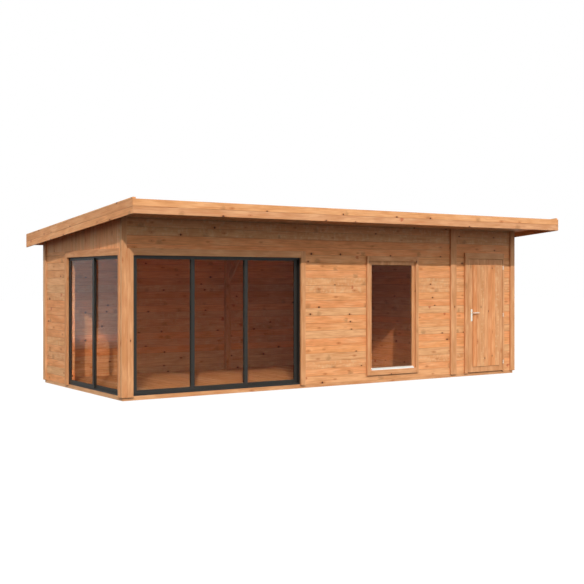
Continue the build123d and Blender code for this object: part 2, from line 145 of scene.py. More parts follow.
# Figure of the pine, length and width of its marks; fibres are drawn coarse so that they show
ARCH = (0.9, 0.05)
STREAK = (0.5, 0.012)
VEIN = (0.8, 0.022)
FIBRE = (0.06, 0.0015)
CLOUD = (0.35, 0.09)
MOTTLE = (0.045, 0.07)
WANDER = (0.05, 0.03)           # ragged rims of smudges and blotches
FADE = (0.6, 0.4)               # stretches of joint with less dirt
RINGS = 6.0                     # rings across the range of an arch
RING_EDGES = (-0.2, 1.0)        # part of the wave that is dark
RING_BEND = 0.8
WASHED_FROM = 0.80              # boards with a higher chance are washed out
GABLE_TONES = (0.1, 0.35)       # part of the tones that the gable boards keep to
BOARD_JUMP = (13.0, 5.0, 5.0)   # farthest that a board's stretch of timber lies from the next one's
TRIM_ROW = 0.12                 # rows of knots on trim, which has no rows of boards
SIDE_STEP = 20                  # faces less than 1 / 20 m apart count as one side
DIRT_EDGE = 0.0015              # from the middle of a joint
WOOD_RELIEF = 0.0006

# Grain of the other finishes; brushed lines and pebbles are drawn coarse so that they show
PEEL = 0.002
PAINT_CLOUD = 0.25
PANE_WAVE = 0.4
DUST = 0.6
PEBBLE = 0.004
BRUSHED_LINE = (0.06, 0.001)
LOW_GLARE_IOR = 1.16


def linear(code):
    """Linear colour of an sRGB hex code."""
    parts = [int(code[i:i + 2], 16) / 255 for i in (1, 3, 5)]
    return [c / 12.92 if c <= 0.04045 else ((c + 0.055) / 1.055) ** 2.4 for c in parts] + [1.0]


def add(tree, kind, inputs=None, **settings):
    """Adds a node: settings first, then inputs by name or number from values, outputs or nodes."""
    node = tree.nodes.new(kind)
    for name, value in settings.items():
        setattr(node, name, value)
    for key, value in (inputs or {}).items():
        named = [s for s in node.inputs if s.enabled and s.name == key]
        socket = named[0] if named else node.inputs[key]
        if isinstance(value, bpy.types.Node):
            value = next(s for s in value.outputs if s.enabled)
        if isinstance(value, bpy.types.NodeSocket):
            tree.links.new(value, socket)
        else:
            socket.default_value = value
    return node


def new_material(name):
    """Empty node material with its output."""
    material = bpy.data.materials.new(name)
    material.use_nodes = True
    tree = material.node_tree
    tree.nodes.clear()
    return material, tree, add(tree, "ShaderNodeOutputMaterial")


def finish_surface(tree, output, shader):
    """Links a shader to the output."""
    tree.links.new(shader.outputs[0], output.inputs["Surface"])


# Room, light and camera


def looked_at(tree):
    """Whether a ray sees directly, by mirror or through glass, and whether no bounce came before."""
    path = add(tree, "ShaderNodeLightPath")
    seen = add(tree, "ShaderNodeMath", {0: path.outputs["Is Camera Ray"], 1: path.outputs["Is Glossy Ray"]},
               operation="MAXIMUM")
    seen = add(tree, "ShaderNodeMath", {0: seen, 1: path.outputs["Is Transmission Ray"]}, operation="MAXIMUM")
    first = add(tree, "ShaderNodeMath", {0: path.outputs["Diffuse Depth"], 1: 0.5}, operation="LESS_THAN")
    return seen, first


def make_sky(scene):
    """White room to the eye; as light, a pale sky that is weaker from the left."""
    world = bpy.data.worlds.new("white_room")
    scene.world = world
    world.use_nodes = True
    tree = world.node_tree
    tree.nodes.clear()
    seen, first = looked_at(tree)
    inside = add(tree, "ShaderNodeMix", {"Factor": first, "A": ROOM_SKY, "B": 1.0})
    strength = add(tree, "ShaderNodeMix", {"Factor": seen, "A": SKY_STRENGTH, "B": inside})
    colour = add(tree, "ShaderNodeMix", {"Factor": seen, "A": linear(SKY_COLOUR), "B": linear(WHITE)},
                 data_type="RGBA")
    way = add(tree, "ShaderNodeSeparateXYZ", {0: add(tree, "ShaderNodeTexCoord").outputs["Generated"]})
    dim = add(tree, "ShaderNodeMapRange", {"Value": way.outputs[0], "From Min": SKY_TURN[0],
                                           "From Max": SKY_TURN[1], "To Min": SKY_LEFT_SHARE})
    dim = add(tree, "ShaderNodeMath", {0: dim, 1: seen}, operation="MAXIMUM")
    strength = add(tree, "ShaderNodeMath", {0: strength, 1: dim}, operation="MULTIPLY")
    sky = add(tree, "ShaderNodeBackground", {"Color": colour, "Strength": strength})
    add(tree, "ShaderNodeOutputWorld", {"Surface": sky})


def make_floor(scene):
    """White floor that keeps a faint shadow; near the left end the panes mirror it as dark, a painted dark
    reflection that only mirrored rays see.
    """
    material, tree, output = new_material("pale_floor")
    seen, first = looked_at(tree)
    direct = add(tree, "ShaderNodeMath", {0: seen, 1: first}, operation="MULTIPLY")
    place = add(tree, "ShaderNodeTexCoord").outputs["Object"]
    away = add(tree, "ShaderNodeVectorMath", {0: place}, operation="LENGTH").outputs["Value"]
    near = add(tree, "ShaderNodeMapRange", {"Value": away, "From Min": MIRROR_WHITE[1],
                                            "From Max": MIRROR_WHITE[0]}, interpolation_type="SMOOTHSTEP")
    along = add(tree, "ShaderNodeSeparateXYZ", {0: place}).outputs[0]
    left = add(tree, "ShaderNodeMapRange", {"Value": along, "From Min": MIRROR_DARK[0],
                                            "From Max": MIRROR_DARK[1]})
    dark = add(tree, "ShaderNodeMath", {0: near, 1: left}, operation="MULTIPLY")
    # painted dark reflection: only rays mirrored by the panes see the floor dark here
    mirrored = add(tree, "ShaderNodeLightPath").outputs["Is Glossy Ray"]
    dark = add(tree, "ShaderNodeMath", {0: dark, 1: mirrored}, operation="MULTIPLY")
    direct = add(tree, "ShaderNodeMath", {0: direct, 1: dark}, operation="SUBTRACT", use_clamp=True)
    paint = add(tree, "ShaderNodeMix", {"Factor": direct, "A": linear(FLOOR_BOUNCE),
                                        "B": linear(FLOOR_SHADE)}, data_type="RGBA")
    lit = add(tree, "ShaderNodeBsdfDiffuse", {"Color": paint})
    glow = add(tree, "ShaderNodeMath", {0: direct, 1: FLOOR_GLOW}, operation="MULTIPLY")
    white = add(tree, "ShaderNodeEmission", {"Color": linear(WHITE), "Strength": glow})
    finish_surface(tree, output, add(tree, "ShaderNodeAddShader", {0: lit, 1: white}))
    mesh = bpy.data.meshes.new("floor")
    r = FLOOR_REACH
    mesh.from_pydata([(-r, -r, 0), (r, -r, 0), (r, r, 0), (-r, r, 0)], [], [(0, 1, 2, 3)])
    mesh.materials.append(material)
    floor = bpy.data.objects.new("floor", mesh)
    scene.collection.objects.link(floor)


def make_studio():
    """White room and floor, one soft sun, and the camera."""
    scene = bpy.context.scene
    scene.view_settings.view_transform = "Standard"
    make_sky(scene)
    make_floor(scene)

    lamp = bpy.data.lights.new("sun", "SUN")
    lamp.energy = SUN_STRENGTH
    lamp.angle = math.radians(SUN_WIDTH)
    lamp.color = linear(SUN_COLOUR)[:3]
    sun = bpy.data.objects.new("sun", lamp)
    x, y, z = SUN_TRAVEL
    sun.rotation_euler = (math.atan2(math.hypot(x, y), -z), 0, math.atan2(-x, y))
    scene.collection.objects.link(sun)

    lens = bpy.data.cameras.new("camera")
    lens.lens = CAMERA_LENS
    lens.shift_y = CAMERA_SHIFT
    camera = bpy.data.objects.new("camera", lens)
    camera.location = CAMERA_PLACE
    camera.rotation_euler = (QUARTER, 0, -math.radians(CAMERA_HEADING))
    scene.collection.objects.link(camera)
    scene.camera = camera


# Materials

# Axes along the grain, across it and into the wood, on faces to the front and on faces to the ends
GRAIN_ORDERS = {"level": ("XZY", "YZX"), "upright": ("ZXY", "ZYX"), "deep": ("YXZ", "YXZ")}
STAINED = ("#DBAA7C", "#EAA673", "#E69761", "#EBA36A", "#D99867")
TRIMMED = ("#D5A379", "#D2976A", "#CF8D5E", "#CC9268")


def spots(tree, along, level, row, height, cell, stretch):
    """One spot in each cell: offset and distance in metres, whether it is on this board, two chances."""
    place = add(tree, "ShaderNodeMath", {0: along, 1: cell}, operation="DIVIDE")
    place = add(tree, "ShaderNodeCombineXYZ", {0: place, 1: level})
    spot = add(tree, "ShaderNodeTexVoronoi", {"Vector": place, "Scale": 1.0, "Randomness": 0.9},
               voronoi_dimensions="2D")
    away = add(tree, "ShaderNodeVectorMath", {0: place, 1: spot.outputs["Position"]}, operation="SUBTRACT")
    away = add(tree, "ShaderNodeVectorMath", {0: away, 1: (cell / stretch, height, 0.0)},
               operation="MULTIPLY")
    gap = add(tree, "ShaderNodeVectorMath", {0: away}, operation="LENGTH").outputs["Value"]
    spot_row = add(tree, "ShaderNodeSeparateXYZ", {0: spot.outputs["Position"]})
    spot_row = add(tree, "ShaderNodeMath", {0: spot_row.outputs[1]}, operation="FLOOR")
    same = add(tree, "ShaderNodeMath", {0: spot_row, 1: row, 2: 0.5}, operation="COMPARE")
    odds = add(tree, "ShaderNodeSeparateColor", {0: spot.outputs["Color"]})
    return away, gap, same, odds.outputs[0], odds.outputs[1]


def disc(tree, gap, same, size, chance, limits, edges):
    """Soft round mark where the chance lies between its limits; edges in radii."""
    low, high = limits
    there = add(tree, "ShaderNodeMath", {0: chance, 1: (low + high) / 2, 2: (high - low) / 2},
                operation="COMPARE")
    there = add(tree, "ShaderNodeMath", {0: there, 1: same}, operation="MULTIPLY")
    radii = add(tree, "ShaderNodeMath", {0: gap, 1: size}, operation="DIVIDE")
    mark = add(tree, "ShaderNodeMapRange", {"Value": radii, "From Min": edges[0], "From Max": edges[1],
                                            "To Min": 1.0, "To Max": 0.0}, interpolation_type="SMOOTHSTEP")
    return add(tree, "ShaderNodeMath", {0: mark, 1: there}, operation="MULTIPLY")


def figure(tree, place, marks, detail=2.0):
    """Cloudy figure with marks of a given length and width."""
    along, across = marks
    scaled = add(tree, "ShaderNodeVectorMath", {0: place, 1: (1 / along, 1 / across, 1 / across)},
                 operation="MULTIPLY")
    return add(tree, "ShaderNodeTexNoise", {"Vector": scaled, "Scale": 1.0, "Detail": detail,
                                            "Roughness": 0.55})


def between(tree, value, limits):
    """Value from 0 to 1 spread between two limits."""
    return add(tree, "ShaderNodeMapRange", {"Value": value, "To Min": limits[0], "To Max": limits[1]})


def pine(name, run, pitch=None, foot=0.0, tones=STAINED, gable=None, tilt=0.0, dirt=0.5, marks=1.0):
    """Pine with a satin stain: streaky boards of mixed tone, growth-ring arches, knots and smudges."""
    material, tree, output = new_material(name)
    at = add(tree, "ShaderNodeTexCoord")
    place = add(tree, "ShaderNodeMapping", {"Vector": at.outputs["Object"], "Rotation": (tilt, 0, 0)})
    place = add(tree, "ShaderNodeSeparateXYZ", {0: place})
    facing = add(tree, "ShaderNodeVectorMath", {0: at.outputs["Normal"]}, operation="ABSOLUTE")
    facing = add(tree, "ShaderNodeSeparateXYZ", {0: facing})
    end = add(tree, "ShaderNodeMath", {0: facing.outputs[0], 1: facing.outputs[1]}, operation="GREATER_THAN")

    # Coordinates along the grain, across it and into the wood
    orders = GRAIN_ORDERS[run] + (("ZYX",) if gable else ())
    flows = []
    for order in orders:
        axes = {i: place.outputs["XYZ".index(axis)] for i, axis in enumerate(order)}
        flows.append(add(tree, "ShaderNodeCombineXYZ", axes))
    grain = add(tree, "ShaderNodeMix", {"Factor": end, "A": flows[0], "B": flows[1]}, data_type="VECTOR")
    if gable:
        high = add(tree, "ShaderNodeMath", {0: place.outputs["Z"], 1: gable}, operation="GREATER_THAN")
        high = add(tree, "ShaderNodeMath", {0: high, 1: end}, operation="MULTIPLY")
        grain = add(tree, "ShaderNodeMix", {"Factor": high, "A": grain, "B": flows[2]}, data_type="VECTOR")
    split = add(tree, "ShaderNodeSeparateXYZ", {0: grain})

    # Each board has its own tone and its own stretch of timber
    height = pitch or TRIM_ROW
    level = add(tree, "ShaderNodeMath", {0: split.outputs[1], 1: foot}, operation="SUBTRACT")
    level = add(tree, "ShaderNodeMath", {0: level, 1: height}, operation="DIVIDE")
    row = add(tree, "ShaderNodeMath", {0: level}, operation="FLOOR")
    side = add(tree, "ShaderNodeMath", {0: split.outputs[2], 1: SIDE_STEP}, operation="MULTIPLY")
    side = add(tree, "ShaderNodeMath", {0: side}, operation="ROUND")
    key = add(tree, "ShaderNodeCombineXYZ", {0: row if pitch else 0.0, 1: side, 2: end})
    chance = add(tree, "ShaderNodeTexWhiteNoise", {"Vector": key}, noise_dimensions="3D")
    jump = add(tree, "ShaderNodeVectorMath", {0: chance.outputs["Color"], 1: BOARD_JUMP},
               operation="MULTIPLY")
    moved = add(tree, "ShaderNodeVectorMath", {0: grain, 1: jump}, operation="ADD")
    along = add(tree, "ShaderNodeSeparateXYZ", {0: moved}).outputs[0]
    washed = add(tree, "ShaderNodeSeparateColor", {0: chance.outputs["Color"]}).outputs[1]
    washed = add(tree, "ShaderNodeMath", {0: washed, 1: WASHED_FROM}, operation="GREATER_THAN")

    # Knots with a halo along the grain
    away, gap, same, size, odds = spots(tree, along, level, row, height, KNOT_CELL, KNOT_STRETCH)
    large, small = between(tree, size, KNOT_LARGE), between(tree, size, KNOT_SMALL)
    large_share, small_share = LARGE_SHARE * marks, SMALL_SHARE * marks
    knot = disc(tree, gap, same, large, odds, (0.0, large_share), KNOT_EDGES)
    weak = disc(tree, gap, same, small, odds, (large_share, small_share), WEAK_EDGES)
    flat = add(tree, "ShaderNodeVectorMath", {0: away, 1: (HALO_SQUEEZE, 1.0, 0.0)}, operation="MULTIPLY")
    flat = add(tree, "ShaderNodeVectorMath", {0: flat}, operation="LENGTH").outputs["Value"]
    halo = disc(tree, flat, same, large, odds, (0.0, small_share), HALO_EDGES)

    # Ragged brown smudges and red blotches
    wander = figure(tree, moved, WANDER, 3.0)
    _, gap, same, size, odds = spots(tree, along, level, row, height, MARK_CELL, 1.0)
    size = between(tree, size, MARK_RADIUS)
    gap = add(tree, "ShaderNodeMath", {0: wander, 1: MARK_RAGGED, 2: gap}, operation="MULTIPLY_ADD")
    gap = add(tree, "ShaderNodeMath", {0: gap, 1: MARK_RAGGED / 2}, operation="SUBTRACT")
    smudge = disc(tree, gap, same, size, odds, (0.0, SMUDGE_SHARE * marks), SMUDGE_EDGES)
    blotch = disc(tree, gap, same, size, odds, (1.0 - BLOTCH_SHARE * marks, 1.0), BLOTCH_EDGES)

    # Growth rings bend round the knots; streaks, veins and fibres follow them, under broad clouds
    bend = add(tree, "ShaderNodeVectorMath", {0: away, "Scale": halo}, operation="SCALE")
    bend = add(tree, "ShaderNodeVectorMath", {0: bend, 1: (0.0, RING_BEND, 0.0)}, operation="MULTIPLY")
    bent = add(tree, "ShaderNodeVectorMath", {0: moved, 1: bend}, operation="SUBTRACT")
    arch = figure(tree, bent, ARCH)
    rings = add(tree, "ShaderNodeMath", {0: arch, 1: RINGS * math.tau}, operation="MULTIPLY")
    rings = add(tree, "ShaderNodeMath", {0: rings}, operation="SINE")
    rings = add(tree, "ShaderNodeMapRange", {"Value": rings, "From Min": RING_EDGES[0],
                                             "From Max": RING_EDGES[1]}, interpolation_type="SMOOTHSTEP")
    streak = figure(tree, bent, STREAK, 3.0)
    vein = figure(tree, bent, VEIN)
    fibre = figure(tree, bent, FIBRE, 1.0)
    cloud = figure(tree, moved, CLOUD)
    mottle = figure(tree, moved, MOTTLE, 3.0)
    mottle = add(tree, "ShaderNodeMath", {0: mottle, 1: washed}, operation="MULTIPLY")

    # Tone of the board
    pick = chance.outputs["Value"]
    if gable:
        calm = between(tree, pick, GABLE_TONES)
        pick = add(tree, "ShaderNodeMix", {"Factor": high, "A": pick, "B": calm})
        washed = add(tree, "ShaderNodeMath", {0: washed, 1: high}, operation="GREATER_THAN")
    tone = add(tree, "ShaderNodeValToRGB", {"Fac": pick})
    ramp = tone.color_ramp
    ramp.interpolation = "LINEAR"
    for i, code in enumerate(tones):
        stop = ramp.elements[i] if i < 2 else ramp.elements.new(i / (len(tones) - 1))
        stop.position = i / (len(tones) - 1)
        stop.color = linear(code)

    # Layers from the broad to the fine: value, where it starts, where it is full, its share, its colour
    layers = [(washed, 0.0, 1.0, 0.35, "#C9A078"), (cloud, 0.45, 0.70, 0.42, "#F0B98A"),
              (cloud, 0.52, 0.28, 0.46, "#C2824E"), (mottle, 0.48, 0.66, 0.38, "#E6C29A"),
              (streak, 0.48, 0.72, 0.32, "#B97A45"), (vein, 0.58, 0.72, 0.42, "#C06A38"),
              (rings, 0.0, 1.0, 0.22, "#B0683A"), (smudge, 0.0, 1.0, 0.52, "#9C6A40"),
              (blotch, 0.0, 1.0, 0.65, "#B24F2C"), (halo, 0.0, 1.0, 0.45, "#B0622F"),
              (weak, 0.0, 1.0, 0.75, "#9A4A22"), (knot, 0.0, 1.0, 0.95, "#4A1F0C")]
    if pitch:
        joint = add(tree, "ShaderNodeMath", {0: level, 1: 0.5}, operation="PINGPONG")
        joint = add(tree, "ShaderNodeMath", {0: joint, 1: height}, operation="MULTIPLY")
        joint = add(tree, "ShaderNodeMapRange", {"Value": joint, "From Min": DIRT_EDGE,
                                                 "From Max": JOINT_WIDTH, "To Min": 1.0, "To Max": 0.0})
        faint = add(tree, "ShaderNodeMapRange", {"Value": figure(tree, moved, FADE), "From Min": 0.35,
                                                 "From Max": 0.65, "To Min": 0.45})
        joint = add(tree, "ShaderNodeMath", {0: joint, 1: faint}, operation="MULTIPLY")
        layers.append((joint, 0.0, 1.0, dirt, "#6A3D20"))
    colour = tone
    for value, start, full, share, code in layers:
        amount = add(tree, "ShaderNodeMapRange", {"Value": value, "From Min": start, "From Max": full,
                                                  "To Max": share}, interpolation_type="SMOOTHSTEP")
        colour = add(tree, "ShaderNodeMix", {"Factor": amount, "A": colour, "B": linear(code)},
                     data_type="RGBA")

    rough = between(tree, streak, (0.5, 0.75))
    relief = add(tree, "ShaderNodeMath", {0: rings, 1: fibre}, operation="ADD")
    bump = add(tree, "ShaderNodeBump", {"Strength": 0.4, "Distance": WOOD_RELIEF, "Height": relief})
    shader = add(tree, "ShaderNodeBsdfPrincipled", {"Base Color": colour, "Roughness": rough, "Normal": bump,
                                                    "Specular IOR Level": 0.3})
    finish_surface(tree, output, shader)
    return material


def powder_coat(name, paint, worn):
    """Aluminium with a dark powder coat: fine orange-peel skin, faintly mottled, soft sheen."""
    material, tree, output = new_material(name)
    at = add(tree, "ShaderNodeTexCoord").outputs["Object"]
    peel = add(tree, "ShaderNodeTexNoise", {"Vector": at, "Scale": 1 / PEEL, "Detail": 2.0})
    cloud = add(tree, "ShaderNodeTexNoise", {"Vector": at, "Scale": 1 / PAINT_CLOUD, "Detail": 4.0})
    colour = add(tree, "ShaderNodeMix", {"Factor": cloud, "A": linear(paint), "B": linear(worn)},
                 data_type="RGBA")
    rough = between(tree, cloud, (0.42, 0.58))
    bump = add(tree, "ShaderNodeBump", {"Strength": 0.15, "Distance": 0.0002, "Height": peel})
    shader = add(tree, "ShaderNodeBsdfPrincipled", {"Base Color": colour, "Roughness": rough, "Normal": bump,
                                                    "Specular IOR Level": 0.35})
    finish_surface(tree, output, shader)
    return material


def tinted_glass(name):
    """Float glass with a weak warm tint and a low-glare coat, very slightly wavy; lets lamp light through."""
    material, tree, output = new_material(name)
    at = add(tree, "ShaderNodeTexCoord").outputs["Object"]
    wave = add(tree, "ShaderNodeTexNoise", {"Vector": at, "Scale": 1 / PANE_WAVE, "Detail": 1.0})
    bump = add(tree, "ShaderNodeBump", {"Strength": 0.02, "Distance": 0.002, "Height": wave})
    haze = add(tree, "ShaderNodeMix", {"Factor": wave, "A": linear("#E8E3DE"), "B": linear("#E4DFD9")},
               data_type="RGBA")
    pane = add(tree, "ShaderNodeBsdfPrincipled", {"Base Color": haze, "Roughness": 0.0, "IOR": LOW_GLARE_IOR,
                                                  "Transmission Weight": 1.0, "Normal": bump})
    clear = add(tree, "ShaderNodeBsdfTransparent", {"Color": linear("#F0E8E0")})
    path = add(tree, "ShaderNodeLightPath")
    mixed = add(tree, "ShaderNodeMixShader", {0: path.outputs["Is Shadow Ray"], 1: pane, 2: clear})
    finish_surface(tree, output, mixed)
    return material


def rubber_sheet(name, dark, dusty):
    """Rubber sheet laid on the roof: matt, dusty in soft patches, finely pebbled."""
    material, tree, output = new_material(name)
    at = add(tree, "ShaderNodeTexCoord").outputs["Object"]
    dust = add(tree, "ShaderNodeTexNoise", {"Vector": at, "Scale": 1 / DUST, "Detail": 6.0, "Roughness": 0.6})
    pebbles = add(tree, "ShaderNodeTexNoise", {"Vector": at, "Scale": 1 / PEBBLE, "Detail": 2.0})
    share = add(tree, "ShaderNodeMapRange", {"Value": dust, "From Min": 0.35, "From Max": 0.75})
    colour = add(tree, "ShaderNodeMix", {"Factor": share, "A": linear(dark), "B": linear(dusty)},
                 data_type="RGBA")
    rough = between(tree, dust, (0.7, 0.95))
    bump = add(tree, "ShaderNodeBump", {"Strength": 0.4, "Distance": 0.0005, "Height": pebbles})
    shader = add(tree, "ShaderNodeBsdfPrincipled", {"Base Color": colour, "Roughness": rough, "Normal": bump})
    finish_surface(tree, output, shader)
    return material


def brushed_metal(name, bright, shadow, roughness, metallic=1.0):
    """Drawn or brushed metal: fine lines along its length and a soft shine."""
    material, tree, output = new_material(name)
    at = add(tree, "ShaderNodeTexCoord").outputs["Object"]
    along, across = BRUSHED_LINE
    lines = add(tree, "ShaderNodeMapping", {"Vector": at, "Scale": (1 / along, 1 / across, 1 / across)})
    lines = add(tree, "ShaderNodeTexNoise", {"Vector": lines, "Scale": 1.0, "Detail": 3.0})
    colour = add(tree, "ShaderNodeMix", {"Factor": lines, "A": linear(bright), "B": linear(shadow)},
                 data_type="RGBA")
    rough = between(tree, lines, roughness)
    bump = add(tree, "ShaderNodeBump", {"Strength": 0.1, "Distance": 0.0001, "Height": lines})
    shader = add(tree, "ShaderNodeBsdfPrincipled", {"Base Color": colour, "Roughness": rough, "Normal": bump,
                                                    "Metallic": metallic})
    finish_surface(tree, output, shader)
    return material


siding_pine = pine("stained_pine_boards", "level", BOARD, FIRST_JOINT, gable=GABLE_FOOT, dirt=0.38)
upright_pine = pine("stained_pine_upright", "upright", tones=TRIMMED, marks=0.35)
level_pine = pine("stained_pine_level", "level", tones=TRIMMED, marks=0.35)
fascia_pine = pine("stained_pine_fascia", "level", FASCIA_BOARD, VERGE_FOOT, dirt=0.4, marks=0.7,
                   tones=("#E1A16D", "#E6A977", "#E39B65"))
lower_pine = pine("stained_pine_lower_fascia", "level", FASCIA_BOARD, VERGE_FOOT, dirt=0.4, marks=0.7,
                  tones=("#D59E79", "#CE946B", "#D1986F"))
verge_pine = pine("stained_pine_verge", "level", FASCIA_BOARD, VERGE_SEAM, tilt=-TILT, dirt=0.4, marks=0.8)
soffit_pine = pine("stained_pine_soffit", "deep", SOFFIT_SHEET, marks=0.6)
floor_pine = pine("oiled_pine_floor", "deep", FLOOR_BOARD, dirt=0.7, marks=0.5,
                  tones=("#DDB58C", "#CF9766", "#C58A5A", "#D9A877"))
door_low, door_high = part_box("store_door_panel")
DOOR_BOARD = (door_high.x - door_low.x) / DOOR_BOARDS
panel_pine = pine("stained_pine_door_boards", "upright", DOOR_BOARD, door_low.x, dirt=0.12, marks=0.4,
                  tones=("#D3A379", "#DD9C6C", "#DA8C58", "#DF9A66", "#CF9162"))
beam_pine = pine("stained_pine_beam", "deep", tones=TRIMMED, marks=0.35)
back_brace_pine = pine("stained_pine_back_brace", "upright", tones=TRIMMED, marks=0.35, tilt=-EIGHTH)
front_brace_pine = pine("stained_pine_front_brace", "upright", tones=TRIMMED, marks=0.35, tilt=EIGHTH)
sawn_pine = pine("sawn_spruce", "deep", tones=("#DDBB8E", "#D8B080", "#CFA26F", "#D6AC7C"))
coated_aluminium = powder_coat("powder_coated_aluminium", "#22201D", "#2B2825")
pane_glass = tinted_glass("tinted_float_glass")
roof_rubber = rubber_sheet("rubber_roof_sheet", "#2B2C2E", "#4A4A4B")
satin_aluminium = brushed_metal("satin_aluminium", "#F7F7F5", "#EDEDEB", (0.4, 0.55), 0.35)
satin_steel = brushed_metal("satin_stainless_steel", "#F6EFE2", "#E2DACB", (0.18, 0.30))


# Wall boards, floor boards and sheets: V joints cut by one node tree


def joint_tree():
    """Node tree that cuts a row of V joints from a solid, on one face or also on the one across from it."""
    tree = bpy.data.node_groups.new("board_joints", "GeometryNodeTree")
    inputs = {"Geometry": "Geometry", "Count": "Int", "Start": "Vector", "Step": "Vector", "Faces": "Int",
              "Across": "Vector", "Bar": "Vector", "Roll": "Vector", "Tilt": "Vector", "Finish": "Material"}
    for name, kind in inputs.items():
        tree.interface.new_socket(name, in_out="INPUT", socket_type=f"NodeSocket{kind}")
    tree.interface.new_socket("Geometry", in_out="OUTPUT", socket_type="NodeSocketGeometry")
    given = add(tree, "NodeGroupInput").outputs
    solid = add(tree, "GeometryNodeMergeByDistance", {"Geometry": given["Geometry"], "Distance": WELD})
    line = add(tree, "GeometryNodeMeshLine", {"Count": given["Count"], "Start Location": given["Start"],
                                              "Offset": given["Step"]})
    bar = add(tree, "GeometryNodeMeshCube", {"Size": given["Bar"]})
    bar = add(tree, "GeometryNodeTransform", {"Geometry": bar, "Rotation": given["Roll"]})
    row = add(tree, "GeometryNodeInstanceOnPoints", {"Points": line, "Instance": bar,
                                                     "Rotation": given["Tilt"]})
    faces = add(tree, "GeometryNodeMeshLine", {"Count": given["Faces"], "Offset": given["Across"]})
    bars = add(tree, "GeometryNodeInstanceOnPoints", {"Points": faces, "Instance": row})
    bars = add(tree, "GeometryNodeRealizeInstances", {"Geometry": bars})
    cut = add(tree, "GeometryNodeMeshBoolean", {"Mesh 1": solid, "Mesh 2": bars}, operation="DIFFERENCE",
              solver="MANIFOLD")
    clean = add(tree, "GeometryNodeMergeByDistance", {"Geometry": cut.outputs["Mesh"], "Distance": SLIVER})
    whole = add(tree, "GeometryNodeRealizeInstances", {"Geometry": clean})
    done = add(tree, "GeometryNodeSetMaterial", {"Geometry": whole, "Material": given["Finish"]})
    add(tree, "NodeGroupOutput", {"Geometry": done})
    return tree


def grow(piece, tree, **sizes):
    """Puts a node tree on a piece with its inputs set by identifier."""
    modifier = piece.modifiers.new(tree.name, "NODES")
    modifier.node_group = tree
    for item in tree.interface.items_tree:
        if item.in_out == "INPUT" and item.name in sizes:
            modifier[item.identifier] = sizes[item.name]


def settle(piece, body, slot, *replaced):
    """Turns the modifiers' result into the piece's own mesh and sets it on its body."""
    graph = bpy.context.evaluated_depsgraph_get()
    mesh = bpy.data.meshes.new_from_object(piece.evaluated_get(graph))
    piece.modifiers.clear()
    piece.data = mesh
    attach(piece, body)
    if replaced:
        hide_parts(*replaced)


def copy_of(node, name):
    """New piece with the mesh of a solid."""
    piece = bpy.data.objects.new(name, nodes[node].data.copy())
    bpy.context.scene.collection.objects.link(piece)
    return piece


JOINTS = joint_tree()
BAR = JOINT_WIDTH / math.sqrt(2)
front_low, front_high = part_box("front_window_wall")
back_low, back_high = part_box("back_wall")
left_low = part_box("left_end_wall")[0]
right_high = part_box("right_end_wall")[1]
part_low, part_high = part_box("partition_wall")
WALL = front_high.y - front_low.y
WALL_TOP = front_high.z
WALL_RISE = WALL_TOP - VERGE_FOOT + ROOF_FALL * (front_low.y - cad_box[0].y)
LENGTH = back_high.x - back_low.x
ALL_ROWS = int((WALL_TOP - FIRST_JOINT) / BOARD) + 1
LOW_ROWS = int((GABLE_FOOT - FIRST_JOINT) / BOARD) + 1


def level_joints(piece, along, face, rows, across=0):
    """Level joints on a wall that runs along X or Y, on the given face and on the one across where given."""
    reach = LENGTH + OVERRUN
    if along == "X":
        places = {"Start": (0, face, FIRST_JOINT), "Across": (0, across, 0), "Bar": (reach, BAR, BAR),
                  "Roll": (EIGHTH, 0, 0)}
    else:
        places = {"Start": (face, 0, FIRST_JOINT), "Across": (across, 0, 0), "Bar": (BAR, reach, BAR),
                  "Roll": (0, EIGHTH, 0)}
    grow(piece, JOINTS, Count=rows, Step=(0, 0, BOARD), Faces=2 if across else 1, Finish=siding_pine,
         **places)


def gable_joints(piece, face, across):
    """Upright joints above the gable's foot on an end wall."""
    top = WALL_TOP + OVERRUN
    first = math.ceil((front_low.y - FIRST_JOINT) / BOARD) * BOARD + FIRST_JOINT
    rows = int((back_high.y - first) / BOARD) + 1
    grow(piece, JOINTS, Count=rows, Start=(face, first, (GABLE_FOOT + top) / 2), Step=(0, BOARD, 0), Faces=2,
         Across=(across, 0, 0), Bar=(BAR, BAR, top - GABLE_FOOT), Roll=(0, 0, EIGHTH), Finish=siding_pine)


def board_walls():
    """Boards on the two faces of every wall; the ends have upright boards in their gables."""
    sides = {"left": (left_low.x, WALL), "right": (right_high.x, -WALL)}
    pier = copy_of("front_left_corner_pier", "corner_pier_boards")
    level_joints(pier, "X", front_low.y, ALL_ROWS)
    level_joints(pier, "Y", left_low.x, LOW_ROWS)
    settle(pier, "pod", "stained_softwood", "front_left_corner_pier")
    headers = copy_of("wall_headers", "header_boards")
    level_joints(headers, "X", front_low.y, ALL_ROWS, WALL)
    gable_joints(headers, *sides["left"])
    settle(headers, "pod", "stained_softwood", "wall_headers")
    long_walls = {"front_window_wall": (front_low.y, WALL), "store_front_walls": (front_low.y, WALL),
                  "back_wall": (back_high.y, -WALL)}
    for node, (face, across) in long_walls.items():
        wall = copy_of(node, node + "_boards")
        level_joints(wall, "X", face, ALL_ROWS, across)
        settle(wall, "pod", "stained_softwood", node)
    for side, (face, across) in sides.items():
        wall = copy_of(side + "_end_wall", side + "_end_boards")
        level_joints(wall, "Y", face, LOW_ROWS, across)
        gable_joints(wall, face, across)
        settle(wall, "pod", "stained_softwood", side + "_end_wall")
    wall = copy_of("partition_wall", "partition_boards")
    level_joints(wall, "Y", part_low.x, LOW_ROWS, part_high.x - part_low.x)
    settle(wall, "pod", "stained_softwood", "partition_wall")


